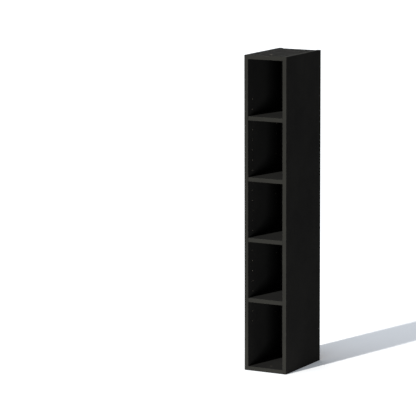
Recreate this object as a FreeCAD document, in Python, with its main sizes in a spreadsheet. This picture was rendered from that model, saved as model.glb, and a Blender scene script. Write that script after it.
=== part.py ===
import FreeCAD, Part
import os
import Sketcher
from FreeCAD import Placement, Rotation, Vector

# A narrow open-shelf tower of black-faced chipboard, in millimetres.
# The origin is the middle of the footprint on the floor. The open front looks along -Y and +Z is up.
# In every body y is measured back from the plane of the front.

SIZES = (
    ("height", 1000, "overall height"),
    ("width", 147, "overall width"),
    ("depth", 236, "overall depth"),
    ("board", 12.7, "thickness of the faced chipboard"),
    ("edging", 0.8, "thickness of the edging strips"),
    ("edging_round", 0.5, "rounding along the outer edges of the edging"),
    ("rear_recess", 10, "from the rear of the sides to the rear of the back board"),
    ("back_thick", 3, "thickness of the back board"),
    ("back_trim", 1.5, "how far the back board stops short of the ends of the sides"),
    ("groove_deep", 6, "depth of the groove for the back board in each side"),
    ("groove_play", 0.1, "play of the back board in its grooves, on each face"),
    ("back_play", 0.5, "play at the bottom of each groove"),
    ("first_shelf", 219.5, "height of the lowest shelf's underside"),
    ("shelf_pitch", 192, "from one shelf to the next"),
    ("shelves", 4, "number of shelves"),
    ("shelf_deep", 220, "depth of a shelf with its edging"),
    ("shelf_setback", 1, "from the front of the sides to the front of a shelf"),
    ("shelf_play", 0.5, "play between a shelf and each side"),
    ("pin_hole", 5, "diameter of the shelf-pin holes"),
    ("pin_hole_deep", 9, "depth of the shelf-pin holes"),
    ("row_pitch", 32, "height between rows of shelf-pin holes"),
    ("rows", 23, "rows of shelf-pin holes"),
    ("rows_below", 2, "rows below the lowest shelf"),
    ("column_front", 30, "from the front to the first column of holes"),
    ("column_spacing", 160, "from the first column of holes to the second"),
    ("pin_shaft", 4.8, "diameter of a shelf pin"),
    ("pin_deep", 8.6, "length of a shelf pin in its hole"),
    ("tongue_thick", 2, "thickness of a shelf pin's tongue"),
    ("tongue_wide", 8, "width of a shelf pin's tongue"),
    ("tongue_long", 10, "reach of a shelf pin's tongue under the shelf"),
    ("fixing_hole", 5, "diameter of the fixing holes in the top and the bottom"),
    ("fixing_sink", 9, "diameter of their countersinks"),
    ("fixing_spacing", 160, "between the two fixing holes of a board"),
    ("fitting_front", 37, "from the front to the first cam bolt"),
    ("fitting_step", 32, "from a cam bolt to the dowel behind it"),
    ("fitting_spacing", 128, "from the first bolt and dowel to the second pair"),
    ("fitting_deep", 9, "depth of the bolt and dowel holes in the sides"),
    ("fitting_play", 0.2, "how much wider a bore is than what it holds"),
    ("cam_wide", 12, "diameter of a cam lock"),
    ("cam_tall", 10, "height of a cam lock"),
    ("cam_reach", 24, "from a board's end to the middle of a cam lock"),
    ("cam_cup", 8.4, "diameter of the hollow that holds a bolt's head"),
    ("cam_floor", 2.4, "thickness of a cam lock's slotted face"),
    ("cam_mouth", 4.8, "width of the mouth where a bolt enters a cam lock"),
    ("slot_long", 7, "length of the driver slots across a cam lock"),
    ("slot_wide", 1.2, "width of the driver slots"),
    ("slot_deep", 1.6, "depth of the driver slots"),
    ("bolt_thread", 4.8, "diameter of a cam bolt in the side"),
    ("bolt_deep", 8.6, "length of a cam bolt in the side"),
    ("collar_wide", 7, "diameter of a cam bolt's collar"),
    ("collar_long", 3, "length of the collar"),
    ("neck_wide", 4, "diameter of a cam bolt's neck"),
    ("head_wide", 6.6, "diameter of a cam bolt's head"),
    ("head_long", 3, "length of the head"),
    ("dowel_wide", 6, "diameter of a dowel"),
    ("dowel_long", 28, "length of a dowel"),
    ("dowel_chamfer", 0.8, "chamfer at the ends of a dowel"),
    ("nail_wide", 1.6, "diameter of a back board nail"),
    ("nail_long", 20, "length of a nail under its head"),
    ("nail_head", 4.2, "diameter of a nail's head"),
    ("nail_head_thick", 0.8, "thickness of a nail's head"),
    ("nail_spacing", 76, "between the two nails at each end of the back board"),
)

# Places that several pieces share, as expressions of the sheet
OUTER = "(Sizes.width / 2)"
INNER = "(Sizes.width / 2 - Sizes.board)"
SHELF_END = f"({INNER} - Sizes.shelf_play)"
MID_BOARD = "(Sizes.board / 2)"
TOP_UNDERSIDE = "(Sizes.height - Sizes.board)"
BACK_REAR = "(Sizes.depth - Sizes.rear_recess)"
BACK_FRONT = f"({BACK_REAR} - Sizes.back_thick)"
PIN_DROP = "(Sizes.tongue_thick / 2)"
FIRST_ROW = f"(Sizes.first_shelf - {PIN_DROP} - Sizes.rows_below * Sizes.row_pitch)"
DOWEL_FRONT = "(Sizes.fitting_front + Sizes.fitting_step)"
DOWEL_IN_SIDE = "(Sizes.fitting_deep - Sizes.fitting_play)"
DOWEL_BORE = f"(Sizes.dowel_long - {DOWEL_IN_SIDE} + Sizes.fitting_play)"

ALONG_X = Rotation(Vector(0, 1, 0), 90)
ALONG_Y = Rotation(Vector(1, 0, 0), -90)
ALONG_Z = Rotation()
TOUCH = 0.001

doc = FreeCAD.newDocument("open_shelf_tower")
sheet = doc.addObject("Spreadsheet::Sheet", "Sizes")
for row, (alias, value, note) in enumerate(SIZES, start=1):
    sheet.set(f"A{row}", alias)
    sheet.set(f"B{row}", str(value))
    sheet.set(f"C{row}", note)
    sheet.setAlias(f"B{row}", alias)
doc.recompute()

pieces = []


def new_piece(label, across="0", up="0"):
    """A body that is written as its own file."""
    body = doc.addObject("PartDesign::Body", label)
    body.Label = label
    body.setExpression("Placement.Base.x", across)
    body.setExpression("Placement.Base.y", "-Sizes.depth / 2")
    body.setExpression("Placement.Base.z", up)
    pieces.append(body)
    return body


def origin_part(body, role):
    return next(part for part in body.Origin.OriginFeatures if part.Role == role)


def new_sketch(body, name, plane, lift="0"):
    """A sketch on one of the body's own origin planes, lifted off it along the plane's normal."""
    sketch = body.newObject("Sketcher::SketchObject", name)
    sketch.AttachmentSupport = [(origin_part(body, plane), "")]
    sketch.MapMode = "FlatFace"
    sketch.setExpression("AttachmentOffset.Base.z", lift)
    return sketch


def hold(sketch, constraint, size):
    """Adds a constraint whose value follows the sheet."""
    index = sketch.addConstraint(constraint)
    name = f"size_{index}"
    sketch.renameConstraint(index, name)
    sketch.setExpression(f"Constraints.{name}", size)


def hold_point(sketch, edge, end, across, up):
    """Keeps an end or the centre of an edge at a place measured from the sketch's origin."""
    for kind, axis, size in (("DistanceX", -2, across), ("DistanceY", -1, up)):
        if size == "0":
            sketch.addConstraint(Sketcher.Constraint("PointOnObject", edge, end, axis))
        else:
            hold(sketch, Sketcher.Constraint(kind, -1, 1, edge, end, 1.0), size)


def rectangle(sketch, left, right, low, high):
    corners = [Vector(-9, -9, 0), Vector(9, -9, 0), Vector(9, 9, 0), Vector(-9, 9, 0)]
    sides = []
    for start, end in zip(corners, corners[1:] + corners[:1]):
        sides.append(sketch.addGeometry(Part.LineSegment(start, end)))
    for this, following in zip(sides, sides[1:] + sides[:1]):
        sketch.addConstraint(Sketcher.Constraint("Coincident", this, 2, following, 1))
    for side, kind in zip(sides, ("Horizontal", "Vertical", "Horizontal", "Vertical")):
        sketch.addConstraint(Sketcher.Constraint(kind, side))
    hold_point(sketch, sides[0], 1, left, low)
    hold_point(sketch, sides[2], 1, right, high)


def circle(sketch, across, up, diameter):
    edge = sketch.addGeometry(Part.Circle(Vector(1, 1, 0), Vector(0, 0, 1), 2.0))
    hold_point(sketch, edge, 3, across, up)
    hold(sketch, Sketcher.Constraint("Diameter", edge, 4.0), diameter)


def extrude(kind, body, name, sketch, length, backwards):
    feature = body.newObject(kind, name)
    feature.Profile = sketch
    feature.Reversed = backwards
    feature.setExpression("Length", length)
    return feature


def pad(body, name, sketch, length, backwards=False):
    """Grows along the sketch plane's normal, or against it where backwards is set."""
    return extrude("PartDesign::Pad", body, name, sketch, length, backwards)


def pocket(body, name, sketch, length, backwards=False):
    """Cuts against the sketch plane's normal, or along it where backwards is set."""
    return extrude("PartDesign::Pocket", body, name, sketch, length, backwards)


def set_place(feature, rotation, across, back, up):
    feature.Placement = Placement(Vector(), rotation)
    feature.setExpression("Placement.Base.x", across)
    feature.setExpression("Placement.Base.y", back)
    feature.setExpression("Placement.Base.z", up)


def rod(body, name, rotation, across, back, up, diameter, length):
    feature = body.newObject("PartDesign::AdditiveCylinder", name)
    feature.setExpression("Radius", f"{diameter} / 2")
    feature.setExpression("Height", length)
    set_place(feature, rotation, across, back, up)
    return feature


def row_step(body, name, axis, length, count):
    """One direction of a pattern, as a step of a repeat."""
    step = body.newObject("PartDesign::LinearPattern", name)
    step.Direction = (origin_part(body, axis), [""])
    step.setExpression("Length", length)
    step.setExpression("Occurrences", count)
    return step


def mirror_step(body):
    """A mirror across the middle of the unit, as a step of a repeat."""
    step = body.newObject("PartDesign::Mirrored", "both_hands")
    step.MirrorPlane = (origin_part(body, "YZ_Plane"), [""])
    return step


def repeat(body, name, features, steps):
    """Repeats the features, or with none given the whole body so far, by all the steps in turn."""
    doc.recompute()
    feature = body.newObject("PartDesign::MultiTransform", name)
    if features:
        feature.Originals = features
    else:
        feature.TransformMode = "Whole shape"
    feature.Transformations = steps
    body.Tip = feature


def edge_names(feature, is_wanted):
    doc.recompute()
    return [f"Edge{index}" for index, edge in enumerate(feature.Shape.Edges, start=1) if is_wanted(edge)]


def make_side(label, left):
    """A full-height side. x = 0 in its body is the inner face, and the board lies outside it."""
    body = new_piece(label, across=f"-{INNER}" if left else INNER)
    outline = new_sketch(body, "outline", "YZ_Plane")
    rectangle(outline, "Sizes.edging", "Sizes.depth", "0", "Sizes.height - Sizes.edging")
    pad(body, "board", outline, "Sizes.board", backwards=left)

    groove = new_sketch(body, "groove_outline", "YZ_Plane")
    groove_front = f"{BACK_FRONT} - Sizes.groove_play"
    rectangle(groove, groove_front, f"{BACK_REAR} + Sizes.groove_play", "0", "Sizes.height")
    pocket(body, "back_groove", groove, "Sizes.groove_deep", backwards=not left)

    hole = new_sketch(body, "pin_hole_outline", "YZ_Plane")
    circle(hole, "Sizes.column_front", FIRST_ROW, "Sizes.pin_hole")
    pin_hole = pocket(body, "pin_hole", hole, "Sizes.pin_hole_deep", backwards=not left)
    columns = row_step(body, "hole_columns", "Y_Axis", "Sizes.column_spacing", "2")
    rows = row_step(body, "hole_rows", "Z_Axis", "(Sizes.rows - 1) * Sizes.row_pitch", "Sizes.rows")
    repeat(body, "pin_holes", [pin_hole], [columns, rows])

    fitting = new_sketch(body, "fitting_outline", "YZ_Plane")
    circle(fitting, "Sizes.fitting_front", MID_BOARD, "Sizes.bolt_thread + Sizes.fitting_play")
    circle(fitting, DOWEL_FRONT, MID_BOARD, "Sizes.dowel_wide + Sizes.fitting_play")
    fitting_pair = pocket(body, "fitting_pair", fitting, "Sizes.fitting_deep", backwards=not left)
    pairs = row_step(body, "fitting_pairs", "Y_Axis", "Sizes.fitting_spacing", "2")
    ends = row_step(body, "fitting_ends", "Z_Axis", TOP_UNDERSIDE, "2")
    repeat(body, "fitting_holes", [fitting_pair], [pairs, ends])


def make_end_board(label, underside):
    """The top or the bottom, between the sides: bores in its ends, cam sockets below, fixing holes."""
    body = new_piece(label, up=underside)
    outline = new_sketch(body, "outline", "XY_Plane")
    rectangle(outline, f"-{INNER}", INNER, "Sizes.edging", BACK_FRONT)
    pad(body, "board", outline, "Sizes.board")

    bolt = new_sketch(body, "bolt_bore_outline", "YZ_Plane", lift=INNER)
    circle(bolt, "Sizes.fitting_front", MID_BOARD, "Sizes.collar_wide + Sizes.fitting_play")
    bolt_bore = pocket(body, "bolt_bore", bolt, "Sizes.cam_reach")
    dowel = new_sketch(body, "dowel_bore_outline", "YZ_Plane", lift=INNER)
    circle(dowel, DOWEL_FRONT, MID_BOARD, "Sizes.dowel_wide + Sizes.fitting_play")
    dowel_bore = pocket(body, "dowel_bore", dowel, DOWEL_BORE)
    cam = new_sketch(body, "cam_socket_outline", "XY_Plane")
    circle(cam, f"{INNER} - Sizes.cam_reach", "Sizes.fitting_front", "Sizes.cam_wide + Sizes.fitting_play")
    cam_socket = pocket(body, "cam_socket", cam, "Sizes.cam_tall + Sizes.fitting_play", backwards=True)
    pairs = row_step(body, "fitting_pairs", "Y_Axis", "Sizes.fitting_spacing", "2")
    repeat(body, "fittings", [bolt_bore, dowel_bore, cam_socket], [pairs, mirror_step(body)])

    centres = new_sketch(body, "fixing_centres", "XY_Plane", lift="Sizes.board")
    for sign in ("-", "+"):
        circle(centres, "0", f"Sizes.depth / 2 {sign} Sizes.fixing_spacing / 2", "Sizes.fixing_hole")
    doc.recompute()
    fixing = body.newObject("PartDesign::Hole", "fixing_holes")
    fixing.Profile = centres
    fixing.DepthType = "ThroughAll"
    fixing.HoleCutType = "Countersink"
    fixing.HoleCutCustomValues = True
    fixing.HoleCutCountersinkAngle = 90
    fixing.setExpression("Diameter", "Sizes.fixing_hole")
    fixing.setExpression("HoleCutDiameter", "Sizes.fixing_sink")


def make_back_board():
    """The thin back, slid into the grooves of the sides behind the top and the bottom."""
    body = new_piece("back_board", up="Sizes.back_trim")
    reach = f"({INNER} + Sizes.groove_deep - Sizes.back_play)"
    outline = new_sketch(body, "outline", "XY_Plane")
    rectangle(outline, f"-{reach}", reach, BACK_FRONT, BACK_REAR)
    pad(body, "board", outline, "Sizes.height - 2 * Sizes.back_trim")


def make_shelf(label, underside):
    """A plain loose board, edged at the front only."""
    body = new_piece(label, up=underside)
    front = "Sizes.shelf_setback + Sizes.edging"
    outline = new_sketch(body, "outline", "XY_Plane")
    rectangle(outline, f"-{SHELF_END}", SHELF_END, front, "Sizes.shelf_setback + Sizes.shelf_deep")
    pad(body, "board", outline, "Sizes.board")


def make_edging(label, ends, faces, underside, tall, on_top=False):
    """A glued strip between two ends and two faces, rounded along its long outer edges."""
    body = new_piece(label, up=underside)
    outline = new_sketch(body, "outline", "XY_Plane")
    rectangle(outline, *ends, *faces)
    strip = pad(body, "strip", outline, tall)

    def is_long_outer(edge):
        box = strip.Shape.BoundBox
        if on_top:
            outside = edge.BoundBox.ZMin > box.ZMax - TOUCH
        else:
            outside = edge.BoundBox.YMax < box.YMin + TOUCH
        return outside and edge.Length > 2 * sheet.board

    rounding_edges = edge_names(strip, is_long_outer)
    rounding = body.newObject("PartDesign::Fillet", "rounding")
    rounding.Base = (strip, rounding_edges)
    rounding.setExpression("Radius", "Sizes.edging_round")


def make_shelf_pins(label, underside):
    """Four pressed pins: a round shaft in the side and a flat tongue under the shelf's corner."""
    body = new_piece(label, up=f"{underside} - {PIN_DROP}")
    tip = f"{INNER} - Sizes.tongue_long + Sizes.tongue_wide / 2"
    rod(body, "shaft", ALONG_X, INNER, "Sizes.column_front", "0", "Sizes.pin_shaft", "Sizes.pin_deep")
    tongue = body.newObject("PartDesign::AdditiveBox", "tongue")
    tongue.setExpression("Length", "Sizes.tongue_long - Sizes.tongue_wide / 2")
    tongue.setExpression("Width", "Sizes.tongue_wide")
    tongue.setExpression("Height", "Sizes.tongue_thick")
    set_place(tongue, ALONG_Z, tip, "Sizes.column_front - Sizes.tongue_wide / 2", f"-{PIN_DROP}")
    round_end = (tip, "Sizes.column_front", f"-{PIN_DROP}")
    rod(body, "tip", ALONG_Z, *round_end, "Sizes.tongue_wide", "Sizes.tongue_thick")
    columns = row_step(body, "columns", "Y_Axis", "Sizes.column_spacing", "2")
    repeat(body, "four_pins", [], [columns, mirror_step(body)])


def make_cam_locks(label, underside):
    """Four cast locks: a cup with a mouth for the bolt, closed below by a face with a driver cross."""
    body = new_piece(label, up=underside)
    middle = f"({INNER} - Sizes.cam_reach)"
    rod(body, "barrel", ALONG_Z, middle, "Sizes.fitting_front", "0", "Sizes.cam_wide", "Sizes.cam_tall")
    cup = new_sketch(body, "cup_outline", "XY_Plane", lift="Sizes.cam_tall")
    circle(cup, middle, "Sizes.fitting_front", "Sizes.cam_cup")
    pocket(body, "cup", cup, "Sizes.cam_tall - Sizes.cam_floor")
    mouth = new_sketch(body, "mouth_outline", "XY_Plane", lift="Sizes.cam_tall")
    mouth_near = "Sizes.fitting_front - Sizes.cam_mouth / 2"
    rectangle(mouth, middle, f"{middle} + Sizes.cam_wide", mouth_near, f"{mouth_near} + Sizes.cam_mouth")
    pocket(body, "mouth", mouth, f"Sizes.cam_tall - {MID_BOARD} + Sizes.cam_mouth / 2")
    cross = (
        ("slot_across", "Sizes.slot_long", "Sizes.slot_wide"),
        ("slot_along", "Sizes.slot_wide", "Sizes.slot_long"),
    )
    for name, across, along in cross:
        slot = new_sketch(body, f"{name}_outline", "XY_Plane")
        left = f"{middle} - {across} / 2"
        near = f"Sizes.fitting_front - {along} / 2"
        rectangle(slot, left, f"{left} + {across}", near, f"{near} + {along}")
        pocket(body, name, slot, "Sizes.slot_deep", backwards=True)
    pairs = row_step(body, "pairs", "Y_Axis", "Sizes.fitting_spacing", "2")
    repeat(body, "four_locks", [], [pairs, mirror_step(body)])


def make_cam_bolts(label, underside):
    """Four turned bolts, screwed into the sides, with their heads in the cam locks."""
    body = new_piece(label, up=f"{underside} + {MID_BOARD}")
    middle = f"{INNER} - Sizes.cam_reach"
    stretches = (
        ("thread", INNER, "Sizes.bolt_thread", "Sizes.bolt_deep"),
        ("collar", f"{INNER} - Sizes.collar_long", "Sizes.collar_wide", "Sizes.collar_long"),
        ("neck", middle, "Sizes.neck_wide", "Sizes.cam_reach"),
        ("head", f"{middle} - Sizes.head_long / 2", "Sizes.head_wide", "Sizes.head_long"),
    )
    for name, start, diameter, length in stretches:
        rod(body, name, ALONG_X, start, "Sizes.fitting_front", "0", diameter, length)
    pairs = row_step(body, "pairs", "Y_Axis", "Sizes.fitting_spacing", "2")
    repeat(body, "four_bolts", [], [pairs, mirror_step(body)])


def make_dowels(label, underside):
    """Four wooden dowels, chamfered at both ends, deep in the board and with one end in the side."""
    body = new_piece(label, up=f"{underside} + {MID_BOARD}")
    start = f"{INNER} + {DOWEL_IN_SIDE} - Sizes.dowel_long"
    dowel = rod(body, "dowel", ALONG_X, start, DOWEL_FRONT, "0", "Sizes.dowel_wide", "Sizes.dowel_long")
    rims = edge_names(dowel, lambda edge: isinstance(edge.Curve, Part.Circle))
    chamfer = body.newObject("PartDesign::Chamfer", "chamfer")
    chamfer.Base = (dowel, rims)
    chamfer.setExpression("Size", "Sizes.dowel_chamfer")
    pairs = row_step(body, "pairs", "Y_Axis", "Sizes.fitting_spacing", "2")
    repeat(body, "four_dowels", [], [pairs, mirror_step(body)])


def make_back_nails():
    """Four flat-headed nails, driven through the back into the rear edges of the top and the bottom."""
    body = new_piece("back_nails", up=MID_BOARD)
    across = "Sizes.nail_spacing / 2"
    start = f"{BACK_REAR} - Sizes.nail_long"
    rod(body, "shank", ALONG_Y, across, start, "0", "Sizes.nail_wide", "Sizes.nail_long")
    rod(body, "head", ALONG_Y, across, BACK_REAR, "0", "Sizes.nail_head", "Sizes.nail_head_thick")
    ends = row_step(body, "ends", "Z_Axis", TOP_UNDERSIDE, "2")
    repeat(body, "four_nails", [], [ends, mirror_step(body)])


FRONT = ("0", "Sizes.edging")
SHELF_FRONT = ("Sizes.shelf_setback", "Sizes.shelf_setback + Sizes.edging")
BEHIND_FRONT = ("Sizes.edging", "Sizes.depth")

# The case: two sides, and the top and bottom between them
for name, left in (("left_side", True), ("right_side", False)):
    ends = (f"-{OUTER}", f"-{INNER}") if left else (INNER, OUTER)
    make_side(name, left)
    make_edging(f"{name}_edging", ends, FRONT, "0", "Sizes.height")
    upper_end = "Sizes.height - Sizes.edging"
    make_edging(f"{name}_top_edging", ends, BEHIND_FRONT, upper_end, "Sizes.edging", on_top=True)

for name, underside in (("top", TOP_UNDERSIDE), ("bottom", "0")):
    make_end_board(f"{name}_board", underside)
    make_edging(f"{name}_edging", (f"-{INNER}", INNER), FRONT, underside, "Sizes.board")
    make_cam_locks(f"{name}_cam_locks", underside)
    make_cam_bolts(f"{name}_cam_bolts", underside)
    make_dowels(f"{name}_dowels", underside)

make_back_board()
make_back_nails()

# The loose shelves, counted from the floor, each on its own four pins
for number in range(int(sheet.shelves)):
    name = f"shelf_{number + 1}"
    underside = f"(Sizes.first_shelf + {number} * Sizes.shelf_pitch)"
    make_shelf(name, underside)
    make_edging(f"{name}_edging", (f"-{SHELF_END}", SHELF_END), SHELF_FRONT, underside, "Sizes.board")
    make_shelf_pins(f"{name}_pins", underside)

doc.recompute()

# Nothing is written unless every feature came out and every cut took something away
for item in doc.Objects:
    if "Invalid" in item.State or "Error" in item.State:
        raise RuntimeError(f"{item.Label} did not come out: {item.State}")
    if item.TypeId in ("PartDesign::Pocket", "PartDesign::Hole"):
        if item.Shape.Volume > item.BaseFeature.Shape.Volume - TOUCH:
            raise RuntimeError(f"{item.Label} in {item.getParentGeoFeatureGroup().Label} cuts nothing")
for piece in pieces:
    if piece.Shape.isNull() or not piece.Shape.isValid():
        raise RuntimeError(f"{piece.Label} has no valid shape")

os.makedirs("parts", exist_ok=True)
for piece in pieces:
    piece.Shape.exportStep(f"parts/{piece.Label}.step")
    box = piece.Shape.BoundBox
    print(
        f"{piece.Label}: {len(piece.Shape.Solids)} solids, {piece.Shape.Volume / 1000:.2f} cm3, "
        f"x {box.XMin:.2f} to {box.XMax:.2f}, y {box.YMin:.2f} to {box.YMax:.2f}, "
        f"z {box.ZMin:.2f} to {box.ZMax:.2f}"
    )
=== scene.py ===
import math

import bpy
from mathutils import Color, Matrix, Vector

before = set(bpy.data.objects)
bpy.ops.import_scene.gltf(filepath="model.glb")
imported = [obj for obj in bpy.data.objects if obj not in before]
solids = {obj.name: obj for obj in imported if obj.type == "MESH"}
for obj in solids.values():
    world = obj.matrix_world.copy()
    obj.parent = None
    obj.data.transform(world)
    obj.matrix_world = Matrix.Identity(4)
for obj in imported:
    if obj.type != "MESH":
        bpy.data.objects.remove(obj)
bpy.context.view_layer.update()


def seen(red, green, blue):
    """A colour as it looks on a screen, from 0 to 255, in the shader's own terms."""
    on_screen = Color((red / 255, green / 255, blue / 255))
    return (*on_screen.from_srgb_to_scene_linear(), 1.0)


FOIL_SHARE = 0.012              # of the board's thickness, on each face
FOIL_BLACK = seen(38, 38, 38), seen(46, 46, 45)
FOIL_CLOUDS = 9                 # slow changes of tone, to the metre
FOIL_PEARL = 1100               # pressed grains to the metre, so each is a little under a millimetre
FOIL_WIPES = 31                 # patches that hands have wiped smoother, to the metre
PEARL_IN_TONE = 0.25            # the grain's part in the foil's tone; the clouds have the rest
PEARL_HEIGHT = 0.2              # of the board's relief
FOIL_ROUGHNESS = 0.46, 0.58
FOIL_GLOSS = 0.001              # a dead matt foil, which stays black when it is seen at a slant

CHIPS_ALONG, CHIPS_THROUGH = 300, 1000      # to the metre; the chips lie flat in the board
CHIP_BENDS, CHIP_BEND_REACH = 1.6, 1.1      # bends for each chip, and how far they go, in chips
FINE_CHIPS = 2.3                # fine chips beside one coarse chip
FINE_LAYER = 0.17, 0.27         # of the thickness, where the fine chips thin out and where they end
GAP_WIDE, GAP_DARK = 0.09, 0.45             # gaps between the coarse chips, in chips and in tone
DUST = 2400                     # grains of saw dust to the metre
DUST_IN_TONE = 0.35
SAWN_SHARE = 0.001              # of the board's width and length, at each edge
SAWN_WOOD = (
    (0.1, seen(118, 98, 74)),
    (0.35, seen(166, 143, 112)),
    (0.65, seen(192, 170, 138)),
    (0.95, seen(218, 200, 170)),
)
# The holes' walls take darker colours than the sawn edges: partly wood burnished by the drill, partly
# painted shade in the holes.
BORED_FROM, BORED_TO = 0.2, 0.8             # tones of the wood with the darkest and the lightest colour
SIDE_BORES = seen(71, 66, 60), seen(115, 109, 100)
RAW_ROUGHNESS = 0.9
BOARD_RELIEF = 0.00025


class Recipe:
    """Shader nodes that are joined up step by step, for a finish, for the floor or for the room's light."""

    def __init__(self, owner):
        owner.use_nodes = True
        self.tree = owner.node_tree
        self.tree.nodes.clear()

    def join(self, socket, feed):
        """Links the socket to a node's output, or sets it to a plain value."""
        if isinstance(feed, bpy.types.NodeSocket):
            self.tree.links.new(feed, socket)
        else:
            socket.default_value = feed

    def add(self, kind, feeds=None, **settings):
        node = self.tree.nodes.new("ShaderNode" + kind)
        for name, value in settings.items():
            setattr(node, name, value)
        for name, feed in (feeds or {}).items():
            self.join(node.inputs[name], feed)
        return node

    def sums(self, operation, first, second=0.0, third=0.0):
        return self.add("Math", {0: first, 1: second, 2: third}, operation=operation).outputs[0]

    def between(self, value, low, high, at_low=0.0, at_high=1.0):
        """value's run from low to high, as a smooth run from at_low to at_high."""
        feeds = {"Value": value, "From Min": low, "From Max": high, "To Min": at_low, "To Max": at_high}
        return self.add("MapRange", feeds, interpolation_type="SMOOTHSTEP").outputs["Result"]


class Finish(Recipe):
    """A finish as it is mixed: one material, its shader, and the nodes that feed the shader."""

    USUAL_RUN = 0.3, 0.7        # nearly all the values of a noise lie between these two
    FINER_STEP = 0.6            # how much each finer step of a noise has of the step before

    def __init__(self, name):
        self.material = bpy.data.materials.new(name)
        super().__init__(self.material)
        self.shader = self.add("BsdfPrincipled")
        self.add("OutputMaterial", {"Surface": self.shader.outputs["BSDF"]})
        where = self.add("TexCoord")
        self.place = where.outputs["Object"]        # metres, in the unit's own frame
        self.share = where.outputs["Generated"]     # 0 to 1 across the piece

    def surface(self, **feeds):
        """Sets or links the shader's sockets, written with underscores for spaces."""
        for name, feed in feeds.items():
            self.join(self.shader.inputs[name.replace("_", " ")], feed)

    def axis(self, place, letter):
        return self.add("SeparateXYZ", {"Vector": place}).outputs[letter]

    def inwards(self, letter):
        """How far in from the nearer end of the piece along that axis, from 0 to 0.5."""
        off_middle = self.sums("SUBTRACT", self.axis(self.share, letter), 0.5)
        return self.sums("SUBTRACT", 0.5, self.sums("ABSOLUTE", off_middle))

    def stretched(self, per_metre):
        """Places counted in their own number of steps to the metre along x, y and z."""
        return self.add("Mapping", {"Vector": self.place, "Scale": per_metre}).outputs["Vector"]

    def noise(self, per_metre, detail=2.0, place=None):
        where = self.place if place is None else place
        feeds = {"Vector": where, "Scale": per_metre, "Detail": detail, "Roughness": self.FINER_STEP}
        return self.add("TexNoise", feeds).outputs["Fac"]

    def streaks(self, per_metre, detail):
        """A noise with its own number of changes to the metre along x, y and z."""
        return self.noise(1.0, detail, self.stretched(per_metre))

    def spread(self, noise, at_low=0.0, at_high=1.0):
        """A noise's usual run, as a smooth run from at_low to at_high."""
        return self.between(noise, *self.USUAL_RUN, at_low, at_high)

    def colours(self, value, *stops):
        """A colour for each value from 0 to 1, from (value, colour) stops."""
        ramp = self.add("ValToRGB", {"Fac": value})
        marks = ramp.color_ramp.elements
        while len(marks) < len(stops):
            marks.new(0.5)
        for mark, (position, colour) in zip(marks, stops):
            mark.position = position
            mark.color = colour
        return ramp.outputs["Color"]

    def shades(self, noise, dark, light):
        """From dark to light over a noise's usual run."""
        return self.colours(noise, *zip(self.USUAL_RUN, (dark, light)))

    def blend(self, share, first, second):
        """first where share is 0 and second where it is 1, for colours."""
        return self.add("Mix", {0: share, 6: first, 7: second}, data_type="RGBA").outputs[2]

    def either(self, share, first, second):
        """first where share is 0 and second where it is 1, for numbers."""
        return self.add("Mix", {0: share, 2: first, 3: second}, data_type="FLOAT").outputs[0]

    def relief(self, height, deep):
        """Bumps of that height, deep metres from their lowest to their highest."""
        bump = self.add("Bump", {"Height": height, "Strength": 1.0, "Distance": deep})
        self.surface(Normal=bump.outputs["Normal"])

    def on(self, *names):
        for name in names:
            solids[name].data.materials.clear()
            solids[name].data.materials.append(self.material)


def foil(board):
    """The foil's colour, its roughness and the height of its grain."""
    clouds = board.noise(FOIL_CLOUDS, detail=3.0)
    pearl = board.spread(board.noise(FOIL_PEARL))
    black = board.shades(board.either(PEARL_IN_TONE, clouds, pearl), *FOIL_BLACK)
    wiped = board.spread(board.noise(FOIL_WIPES, detail=4.0), *FOIL_ROUGHNESS)
    return black, wiped, board.sums("MULTIPLY", pearl, PEARL_HEIGHT)


def chipboard(board, through):
    """The raw board's tone: fine chips under the faces, and coarse ones with gaps in the middle."""
    per_metre = [CHIPS_ALONG] * 3
    per_metre["XYZ".index(through)] = CHIPS_THROUGH
    straight = board.stretched(per_metre)
    bends = board.add("TexNoise", {"Vector": straight, "Scale": CHIP_BENDS, "Detail": 3.0}).outputs["Color"]
    bent = {0: bends, 1: [CHIP_BEND_REACH] * 3, 2: straight}
    ragged = board.add("VectorMath", bent, operation="MULTIPLY_ADD").outputs[0]

    fine = board.add("TexVoronoi", {"Vector": ragged, "Scale": FINE_CHIPS})
    coarse = board.add("TexVoronoi", {"Vector": ragged, "Scale": 1.0})
    rims = board.add("TexVoronoi", {"Vector": ragged, "Scale": 1.0}, feature="DISTANCE_TO_EDGE")
    middle = board.between(board.inwards(through), *FINE_LAYER)
    chip = board.either(middle, *(board.axis(chips.outputs["Color"], "X") for chips in (fine, coarse)))
    between_chips = board.between(rims.outputs["Distance"], 0.0, GAP_WIDE, GAP_DARK, 0.0)
    gap = board.sums("MULTIPLY", middle, between_chips)
    dusty = board.either(DUST_IN_TONE, chip, board.noise(DUST, detail=3.0))
    return board.sums("SUBTRACT", dusty, gap)


def board_finish(name, through, bore_dark, bore_light):
    """Foil on the two faces across the axis that goes through the board, raw chipboard between them."""
    board = Finish(name)
    raw = board.sums("GREATER_THAN", board.inwards(through), FOIL_SHARE)
    across = [board.inwards(letter) for letter in "XYZ" if letter != through]
    drilled = board.sums("GREATER_THAN", board.sums("MINIMUM", *across), SAWN_SHARE)

    black, wiped, grain = foil(board)
    wood = chipboard(board, through)
    sawn = board.colours(wood, *SAWN_WOOD)
    # walls of the holes: burnished wood, darkened further with painted shade
    burnished_and_shaded_bores = board.colours(wood, (BORED_FROM, bore_dark), (BORED_TO, bore_light))
    core = board.blend(drilled, sawn, burnished_and_shaded_bores)

    board.surface(Base_Color=board.blend(raw, black, core), Specular_IOR_Level=FOIL_GLOSS,
                  Roughness=board.either(raw, wiped, RAW_ROUGHNESS))
    board.relief(board.either(raw, grain, wood), BOARD_RELIEF)
    return board


board_finish("side_board", "X", *SIDE_BORES).on("left_side", "right_side")


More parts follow.
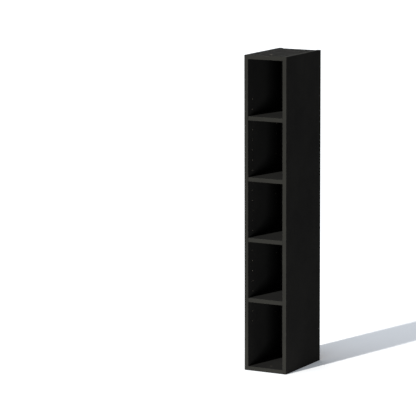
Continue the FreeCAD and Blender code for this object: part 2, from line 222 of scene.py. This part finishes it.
# Edging of the sides
# Strips of black plastic, 0.8 mm thick, glued on the front edge and the upper end of each side. Their long
# outer corners are trimmed round, and the scraper leaves faint lines along the strip.
LINES_ACROSS, LINES_ALONG = 1300.0, 9.0     # to the metre
EDGING_CLOUDS = 14                          # to the metre
CLOUDS_IN_STRIP = 0.5                       # their part in the strip's tone; the lines have the rest
EDGING_ROUGHNESS = 0.4, 0.5
EDGING_GLOSS = 0.002
EDGING_RELIEF = 0.00003
RUBBED_SHARE = 0.015, 0.06                  # of the strip's width, where it is rubbed and where it is whole
RUBBED_SPOTS = 60                           # to the metre
RUBBED_RUN = 0.5, 0.68                      # the part of the spots' noise that goes from whole to rubbed
RUBBED_GREY = seen(72, 72, 69)
FRONT_BLACK = seen(48, 48, 46), seen(56, 56, 53)
SHADED_END_BLACK = seen(43, 43, 42), seen(50, 50, 48)      # painted shade: the same edging, darker on the upper ends, which face up


def edging_finish(name, along, across, dark, light):
    """A black strip with faint lines along one axis, and with rubbed corners at its ends along another."""
    strip = Finish(name)
    per_metre = [LINES_ACROSS] * 3
    per_metre["XYZ".index(along)] = LINES_ALONG
    lines = strip.streaks(per_metre, detail=3.0)
    tone = strip.either(CLOUDS_IN_STRIP, lines, strip.noise(EDGING_CLOUDS, detail=3.0))
    black = strip.shades(tone, dark, light)
    corner = strip.between(strip.inwards(across), *RUBBED_SHARE, 1.0, 0.0)
    touched = strip.between(strip.noise(RUBBED_SPOTS, detail=5.0), *RUBBED_RUN)
    rubbed = strip.sums("MULTIPLY", corner, touched)
    strip.surface(Base_Color=strip.blend(rubbed, black, RUBBED_GREY), Specular_IOR_Level=EDGING_GLOSS,
                  Roughness=strip.spread(tone, *EDGING_ROUGHNESS))
    strip.relief(lines, EDGING_RELIEF)
    return strip


edging_finish("standing_edging", "Z", "X", *FRONT_BLACK).on("left_side_edging", "right_side_edging")
edging_finish("end_edging", "Y", "X", *SHADED_END_BLACK).on("left_side_top_edging", "right_side_top_edging")


# Top and bottom
# Two lying boards of the same foiled chipboard, held between the sides. Each has two countersunk fixing
# holes on its centre line, whose raw chipboard shows as light rings, and round sockets for the cams below.
# Hole colours, darker than the sawn edges: partly burnished wood, partly painted shade in the holes.
TOP_BORES = seen(92, 86, 78), seen(150, 143, 132)
SHADED_LOWER_BORES = seen(54, 50, 45), seen(82, 77, 70)    # darker still than the top's: painted shade in the holes

board_finish("top_board", "Z", *TOP_BORES).on("top_board")
lower_board = board_finish("lower_board", "Z", *SHADED_LOWER_BORES)
lower_board.on("bottom_board")
lying_edging = edging_finish("lying_edging", "X", "Z", *FRONT_BLACK)
lying_edging.on("top_edging", "bottom_edging")


# Cam locks
# Die-cast zinc drums with a cross for a screwdriver, four in the underside of the top and four in that of
# the bottom. Turned in their sockets, they draw up the bolts. The casting's skin is grey and rather rough.
ZINC_SKIN = 900                             # grains to the metre
ZINC_GREY = seen(150, 151, 153), seen(186, 187, 188)
ZINC_ROUGHNESS = 0.42, 0.58
ZINC_RELIEF = 0.00006

zinc = Finish("cast_zinc")
skin = zinc.noise(ZINC_SKIN, detail=4.0)
zinc.surface(Base_Color=zinc.shades(skin, *ZINC_GREY), Metallic=1.0,
             Roughness=zinc.spread(skin, *ZINC_ROUGHNESS))
zinc.relief(skin, ZINC_RELIEF)
zinc.on("top_cam_locks", "bottom_cam_locks")


# Cam bolts
# Turned steel bolts with a thin yellowish plating. One end is screwed into the side, and the head at the
# other end lies in a cam lock.
PLATE_CLOUDS = 260                          # to the metre
PLATE_MARKS = 3200                          # fine marks from handling, to the metre
PLATE_RUN = 0.25, 0.75                      # the part of the clouds' noise that goes from dull to bright
PLATE_ROUGHNESS = 0.38, 0.24                # dull and bright
PLATE_RELIEF = 0.00001
BOLT_STEEL = seen(176, 172, 156), seen(206, 203, 190)


def plated_finish(name, dull, bright):
    """Plated steel: bright, with duller clouds and fine marks from handling."""
    steel = Finish(name)
    clouds = steel.noise(PLATE_CLOUDS, detail=4.0)
    steel.surface(Base_Color=steel.shades(clouds, dull, bright), Metallic=1.0,
                  Roughness=steel.between(clouds, *PLATE_RUN, *PLATE_ROUGHNESS))
    steel.relief(steel.noise(PLATE_MARKS), PLATE_RELIEF)
    return steel


plated_finish("plated_bolt", *BOLT_STEEL).on("top_cam_bolts", "bottom_cam_bolts")


# Dowels
# Beech pegs with chamfered ends, beside the bolts, that keep the boards in line with the sides. They lie
# across the unit, so their grain runs along x, with the short brown flecks of beech in it.
BEECH_GRAIN = 45.0, 900.0, 900.0            # to the metre
BEECH_FLECKS = 420.0, 1900.0, 1900.0        # to the metre
FLECK_REACH = 0.1, 0.35                     # from a fleck's middle, where it is darkest and where it ends
FLECK_STRENGTH = 0.35
FLECK_BROWN = seen(164, 122, 82)
BEECH_PALE = seen(196, 160, 118), seen(222, 192, 150)
BEECH_ROUGHNESS = 0.62, 0.74
BEECH_RELIEF = 0.00008

beech = Finish("beech_dowel")
grain = beech.streaks(BEECH_GRAIN, detail=4.0)
flecks = beech.add("TexVoronoi", {"Vector": beech.stretched(BEECH_FLECKS), "Scale": 1.0})
fleck = beech.between(flecks.outputs["Distance"], *FLECK_REACH, FLECK_STRENGTH, 0.0)
beech.surface(Base_Color=beech.blend(fleck, beech.shades(grain, *BEECH_PALE), FLECK_BROWN),
              Roughness=beech.spread(grain, *BEECH_ROUGHNESS))
beech.relief(grain, BEECH_RELIEF)
beech.on("top_dowels", "bottom_dowels")


# Back
# A sheet of 3 mm hardboard, slid into the grooves of the sides. Its smooth face is lacquered black and
# looks into the shelves. The other face stays brown, with its fibres and the print of the press's wire
# screen.
LACQUER_SHARE = 0.06                        # of the sheet's thickness
LACQUER_BLACK = seen(33, 33, 33), seen(40, 40, 40)
BROWN = (0.3, seen(92, 64, 42)), (0.5, seen(112, 80, 54)), (0.7, seen(134, 98, 68))
FIBRES = 520.0, 520.0, 130.0                # to the metre; most of them stand upright
BACK_CLOUDS = 11                            # to the metre
CLOUDS_IN_BACK = 0.4                        # their part in the tone; the fibres have the rest
WIRE_PITCH = 0.0021                         # of the press's screen
WIRE_HEIGHT, FIBRE_HEIGHT, LACQUER_HEIGHT = 0.6, 0.5, 0.15      # of the back's relief
LACQUER_ROUGHNESS, BROWN_ROUGHNESS = 0.5, 0.82
BACK_GLOSS = 0.22
BACK_RELIEF = 0.00022

back = Finish("hardboard")
brown_side = back.sums("GREATER_THAN", back.axis(back.share, "Y"), LACQUER_SHARE)
fibres = back.streaks(FIBRES, detail=4.0)
tone = back.either(CLOUDS_IN_BACK, fibres, back.noise(BACK_CLOUDS, detail=4.0))
colour = back.blend(brown_side, back.shades(tone, *LACQUER_BLACK), back.colours(tone, *BROWN))
back.surface(Base_Color=colour, Specular_IOR_Level=BACK_GLOSS,
             Roughness=back.either(brown_side, LACQUER_ROUGHNESS, BROWN_ROUGHNESS))

turns = [back.sums("MULTIPLY", back.axis(back.place, letter), 2 * math.pi / WIRE_PITCH) for letter in "XZ"]
weave = back.sums("MULTIPLY", *(back.sums("SINE", turn) for turn in turns))
print_height = back.sums("MULTIPLY", back.between(weave, -1.0, 1.0), WIRE_HEIGHT)
pressed = back.sums("MULTIPLY_ADD", fibres, FIBRE_HEIGHT, print_height)
smooth = back.sums("MULTIPLY", fibres, LACQUER_HEIGHT)
back.relief(back.either(brown_side, smooth, pressed), BACK_RELIEF)
back.on("back_board")


# Back nails
# Four short flat-headed nails of bright steel. They are driven through the back into the rear edges of the
# top and the bottom, until their heads lie on the brown face.
NAIL_STEEL = seen(112, 111, 108), seen(152, 152, 150)

plated_finish("bright_nail", *NAIL_STEEL).on("back_nails")


# Shelf pins
# Spoon-shaped pins of nickel-plated steel, four for each shelf. The shaft is pushed into a hole of the
# side, and the shelf lies on the flat tongue.
NICKEL = seen(184, 180, 170), seen(214, 210, 200)

shelf_pins = [name for name in solids if name.endswith("_pins")]
plated_finish("nickel_pin", *NICKEL).on(*shelf_pins)


# Shelves
# Four loose boards of the same foiled chipboard, each with a black strip on its front edge. They lie on
# their pins a little behind the front of the case, and draw out forwards.
shelves = [name.removesuffix("_pins") for name in shelf_pins]
lower_board.on(*shelves)
lying_edging.on(*(f"{shelf}_edging" for shelf in shelves))


# Studio
# A wide pale floor that shows white around the unit's shadow, and a key lamp at the front left. A low lamp
# at the front right gives the light that such a floor throws back into the shelves, and another at the rear
# left shows the back.
FLOOR_HALF = 40.0                           # metres from its middle to each side
FLOOR_DROP = 0.0002                         # just clear of the unit's lower edges
# Painted pool of light: the floor's colour for bounced light is paler in front of the unit and greyer, as
# painted shade, farther off.
LIT_MIDDLE = 0.0, -0.4, 0.0                 # the floor in front of the unit throws back the most light
LIT_REACH = 0.2, 0.6                        # from that middle, where it is palest and where it is greyest
PAINTED_POOL_PALE, PAINTED_SHADE_GREY = 0.95, 0.25
ROOM_GLOW = 0.535, 0.575, 0.63, 1.0         # the room's own light on the floor, which the shadow keeps
ROOM_SIDE = -0.145, -0.626, 0.766           # most of that light comes from the front, at half height
ROOM_REACH = 2.0                            # metres within which the unit shuts the room's light out
ROOM_RAYS = 8
SHUT_OUT = 1.4                              # above 1, the shadow is deeper close to the unit
EVEN_LIGHT, EVEN_STRENGTH = (0.97, 0.99, 1.0, 1.0), 0.06
WHITE = 1.0, 1.0, 1.0, 1.0
scene = bpy.context.scene


def looked_at(recipe):
    """1 for a ray from the camera, and for one that metal or glass sends on. Otherwise 0."""
    rays = recipe.add("LightPath")
    straight = recipe.sums("MAXIMUM", rays.outputs["Is Camera Ray"], rays.outputs["Is Glossy Ray"])
    return recipe.sums("MAXIMUM", straight, rays.outputs["Is Transmission Ray"])


def lamp(name, travel, strength, soft_degrees, colour):
    """A far lamp whose light travels in that direction."""
    light = bpy.data.lights.new(name, "SUN")
    light.energy = strength
    light.angle = math.radians(soft_degrees)
    light.color = colour
    made = bpy.data.objects.new(name, light)
    made.rotation_euler = Vector(travel).to_track_quat("-Z", "Y").to_euler()
    scene.collection.objects.link(made)
    return made


ways = (-1, -1), (1, -1), (1, 1), (-1, 1)
floor_corners = [(FLOOR_HALF * x, FLOOR_HALF * y, -FLOOR_DROP) for x, y in ways]
floor_mesh = bpy.data.meshes.new("floor")
floor_mesh.from_pydata(floor_corners, [], [range(4)])
floor = bpy.data.objects.new("floor", floor_mesh)
floor.visible_shadow = False                # the two low lamps shine up through it
scene.collection.objects.link(floor)

pale = bpy.data.materials.new("pale_floor")
paper = Recipe(pale)
place = paper.add("TexCoord").outputs["Object"]
off_lit = paper.add("VectorMath", {0: place, 1: LIT_MIDDLE}, operation="DISTANCE").outputs["Value"]
thrown = paper.add("BsdfDiffuse", {"Color": paper.between(off_lit, *LIT_REACH, PAINTED_POOL_PALE, PAINTED_SHADE_GREY)})
room_side = paper.add("CombineXYZ", dict(zip("XYZ", ROOM_SIDE))).outputs["Vector"]
open_room = {"Distance": ROOM_REACH, "Normal": room_side}
left_open = paper.add("AmbientOcclusion", open_room, samples=ROOM_RAYS).outputs["AO"]
glow = paper.add("Emission", {"Color": ROOM_GLOW, "Strength": paper.sums("POWER", left_open, SHUT_OUT)})
white = paper.add("BsdfDiffuse", {"Color": WHITE})
shown = paper.add("AddShader", {0: white.outputs[0], 1: glow.outputs[0]})
mixed = paper.add("MixShader", {0: looked_at(paper), 1: thrown.outputs[0], 2: shown.outputs[0]})
paper.add("OutputMaterial", {"Surface": mixed.outputs[0]})
floor_mesh.materials.append(pale)

lamp("key_lamp", travel=(0.287, 1.243, -1.0), strength=3.2, soft_degrees=1.8, colour=(1.0, 0.985, 0.95))
lamp("front_lamp", travel=(-0.604, 0.774, 0.191), strength=0.86, soft_degrees=18.0, colour=WHITE[:3])
rear_lamp = lamp("rear_lamp", travel=(0.6, -0.78, 0.08), strength=2.6, soft_degrees=40.0, colour=WHITE[:3])
rear_lamp.visible_glossy = False

scene.world = bpy.data.worlds.new("room")
air = Recipe(scene.world)
even = air.add("Background", {"Color": EVEN_LIGHT, "Strength": EVEN_STRENGTH})
bright = air.add("Background", {"Color": WHITE, "Strength": 1.0})
around = air.add("MixShader", {0: looked_at(air), 1: even.outputs[0], 2: bright.outputs[0]})
air.add("OutputWorld", {"Surface": around.outputs[0]})
scene.view_settings.view_transform = "Standard"


# Camera
# It stands to the right of the front, at about twice the unit's height, and looks down a little through a
# long lens.
CAMERA_PLACE = 3.9033, -7.4949, 1.9141
LENS, SENSOR = 234.90, 36.0                 # millimetres
TURN, TILT, ROLL = 29.107, 9.454, -0.206    # degrees to the left, downwards and about the line of sight
SIGHT = 200.0

camera_data = bpy.data.cameras.new("camera")
camera_data.lens = LENS
camera_data.sensor_width = SENSOR
camera_data.clip_end = SIGHT
camera = bpy.data.objects.new("camera", camera_data)
scene.collection.objects.link(camera)
turned = Matrix.Rotation(math.radians(TURN), 4, "Z")
tipped = Matrix.Rotation(math.radians(90 - TILT), 4, "X")
rolled = Matrix.Rotation(math.radians(ROLL), 4, "Z")
camera.matrix_world = Matrix.Translation(CAMERA_PLACE) @ turned @ tipped @ rolled
scene.camera = camera
